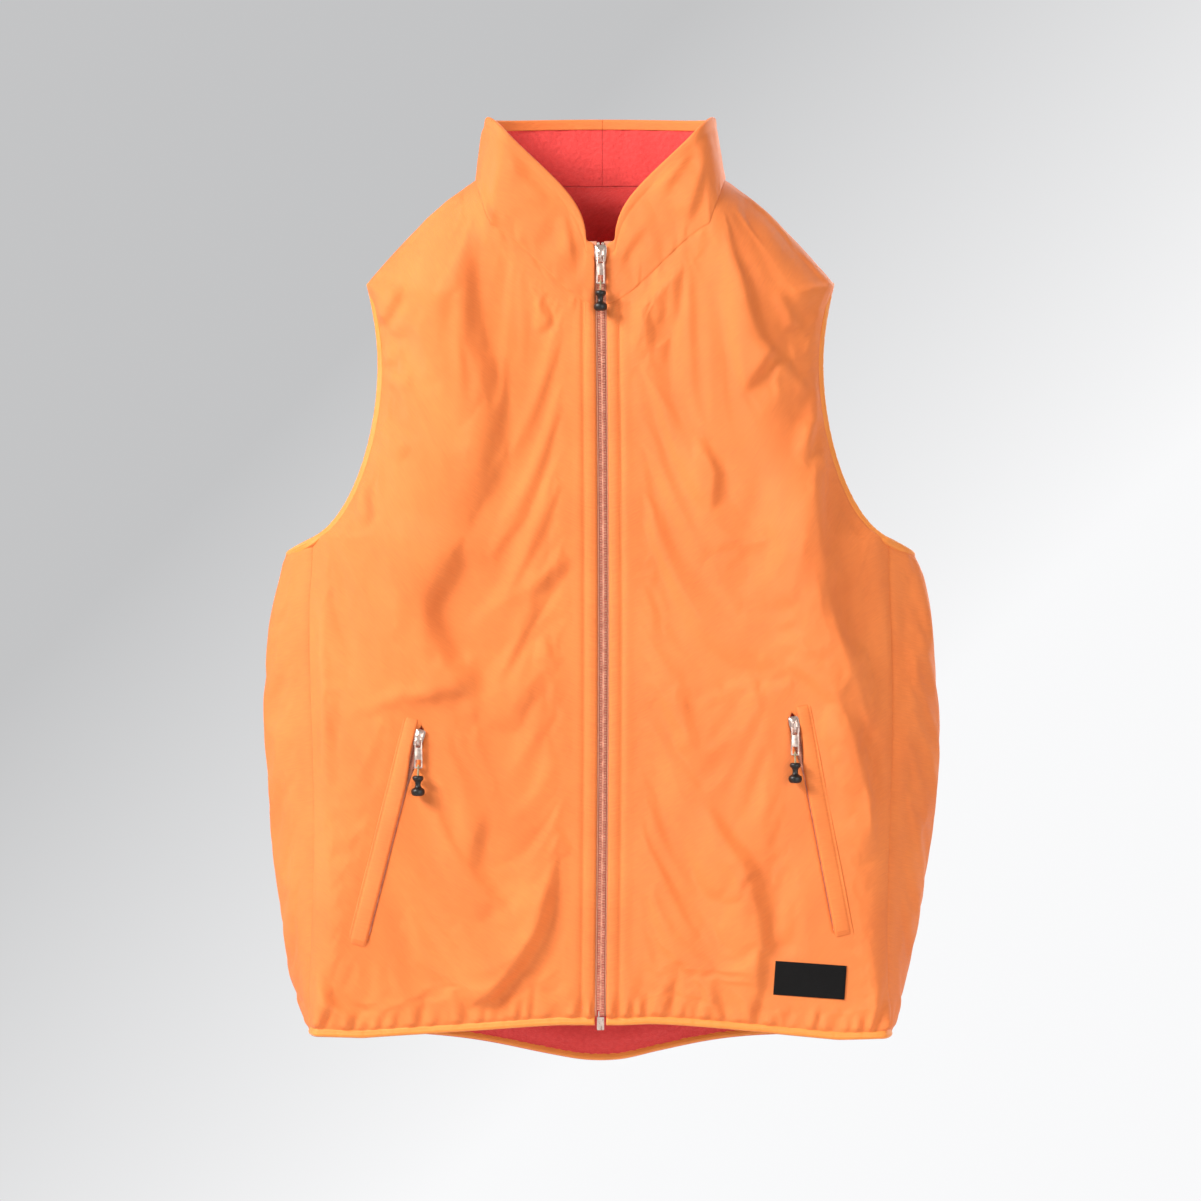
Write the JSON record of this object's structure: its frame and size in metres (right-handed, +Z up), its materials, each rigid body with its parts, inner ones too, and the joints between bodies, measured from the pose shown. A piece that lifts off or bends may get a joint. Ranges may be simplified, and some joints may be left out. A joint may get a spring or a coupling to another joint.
{
  "type": "blaze orange vest",
  "caption": "Sleeveless blaze orange vest with stand collar, fleece lining, full front zip, two slanted zipped hand pockets and elastic-bound armholes and hem.",
  "frame": {"origin": "on the mid-plane between front and back, centred across, level with the foot of the collar, where a hanger's neck carries the vest", "axes": "+Z up; the front with the zip faces -Y; +X is the wearer's left"},
  "size_m": [0.5756, 0.1244, 0.8163],
  "materials": {
    "shell": "tightly woven synthetic shell cloth, soft satin sheen",
    "lining": "brushed fleece, matt",
    "binding": "knitted elastic edging",
    "zip_tape": "woven zip tape",
    "zip_coil": "moulded coil",
    "zip_metal": "plated die-cast metal, lightly worn",
    "pull_cord": "thin braided cord",
    "knob": "moulded rubbery plastic",
    "label": "woven patch, blank"
  },
  "bodies": {
    "root": {"shell_front_outer_left": "shell", "shell_front_outer_right": "shell", "shell_side_left": "shell", "shell_side_right": "shell", "lining_front_outer_left": "lining", "lining_front_outer_right": "lining", "lining_side_left": "lining", "lining_side_right": "lining", "shell_back": "shell", "lining_back": "lining", "collar_shell": "shell", "collar_lining": "lining", "armhole_binding_left": "binding", "armhole_binding_right": "binding", "hem_binding_back": "binding"},
    "left_front": {"shell_front_left": "shell", "lining_front_left": "lining", "collar_front_left": "shell", "collar_lining_front_left": "lining", "hem_binding_front_left": "binding", "main_tape_left": "zip_tape", "main_chain_left": "zip_coil", "main_top_stop_left": "zip_metal", "pocket_tape_inner_left": "zip_tape", "pocket_tape_outer_left": "zip_tape", "pocket_chain_left": "zip_coil", "pocket_stop_left": "zip_metal", "pocket_welt_left": "shell", "pocket_bag_left": "lining", "main_retainer_box": "zip_metal", "hem_label": "label"},
    "right_front": {"shell_front_right": "shell", "lining_front_right": "lining", "collar_front_right": "shell", "collar_lining_front_right": "lining", "hem_binding_front_right": "binding", "main_tape_right": "zip_tape", "main_chain_right": "zip_coil", "main_top_stop_right": "zip_metal", "pocket_tape_inner_right": "zip_tape", "pocket_tape_outer_right": "zip_tape", "pocket_chain_right": "zip_coil", "pocket_stop_right": "zip_metal", "pocket_welt_right": "shell", "pocket_bag_right": "lining", "main_insertion_pin": "zip_metal"},
    "main_slider": {"main_slider": "zip_metal"},
    "main_tab": {"main_tab": "zip_metal"},
    "main_pull": {"main_cord": "pull_cord", "main_knob": "knob"},
    "pocket_slider_left": {"pocket_slider_left": "zip_metal"},
    "pocket_tab_left": {"pocket_tab_left": "zip_metal"},
    "pocket_pull_left": {"pocket_cord_left": "pull_cord", "pocket_knob_left": "knob"},
    "pocket_slider_right": {"pocket_slider_right": "zip_metal"},
    "pocket_tab_right": {"pocket_tab_right": "zip_metal"},
    "pocket_pull_right": {"pocket_cord_right": "pull_cord", "pocket_knob_right": "knob"}
  },
  "joints": [
    {"name": "left_front_open", "type": "hinge", "parent": "root", "child": "left_front", "pos_m": [0.09, -0.06, -0.02], "axis": [-0.2067, 0, 0.9784], "range_deg": [0, 100]},
    {"name": "right_front_open", "type": "hinge", "parent": "root", "child": "right_front", "pos_m": [-0.09, -0.06, -0.02], "axis": [-0.2067, 0, -0.9784], "range_deg": [0, 100]},
    {"name": "main_slider_run", "type": "slide", "parent": "left_front", "child": "main_slider", "axis": [0, 0, -1], "range_m": [0, 0.634], "deforming": ["main_chain_left", "main_chain_right"]},
    {"name": "main_tab_tilt", "type": "hinge", "parent": "main_slider", "child": "main_tab", "pos_m": [0, -0.06345, -0.056], "axis": [-1, 0, 0], "range_deg": [0, 140]},
    {"name": "main_pull_swing", "type": "hinge", "parent": "main_tab", "child": "main_pull", "pos_m": [0, -0.06345, -0.0786], "axis": [-1, 0, 0], "range_deg": [0, 60]},
    {"name": "pocket_slider_run_left", "type": "slide", "parent": "left_front", "child": "pocket_slider_left", "axis": [0.1874, 0, -0.9823], "range_m": [0, 0.167], "deforming": ["pocket_chain_left"]},
    {"name": "pocket_tab_tilt_left", "type": "hinge", "parent": "pocket_slider_left", "child": "pocket_tab_left", "pos_m": [0.16325, -0.06345, -0.45179], "axis": [-1, 0, 0], "range_deg": [0, 140]},
    {"name": "pocket_pull_swing_left", "type": "hinge", "parent": "pocket_tab_left", "child": "pocket_pull_left", "pos_m": [0.16325, -0.06345, -0.47439], "axis": [-1, 0, 0], "range_deg": [0, 60]},
    {"name": "pocket_slider_run_right", "type": "slide", "parent": "right_front", "child": "pocket_slider_right", "axis": [-0.2453, 0, -0.9694], "range_m": [0, 0.167], "deforming": ["pocket_chain_right"]},
    {"name": "pocket_tab_tilt_right", "type": "hinge", "parent": "pocket_slider_right", "child": "pocket_tab_right", "pos_m": [-0.15294, -0.06345, -0.46263], "axis": [-1, 0, 0], "range_deg": [0, 140]},
    {"name": "pocket_pull_swing_right", "type": "hinge", "parent": "pocket_tab_right", "child": "pocket_pull_right", "pos_m": [-0.15294, -0.06345, -0.48523], "axis": [-1, 0, 0], "range_deg": [0, 60]}
  ]
}
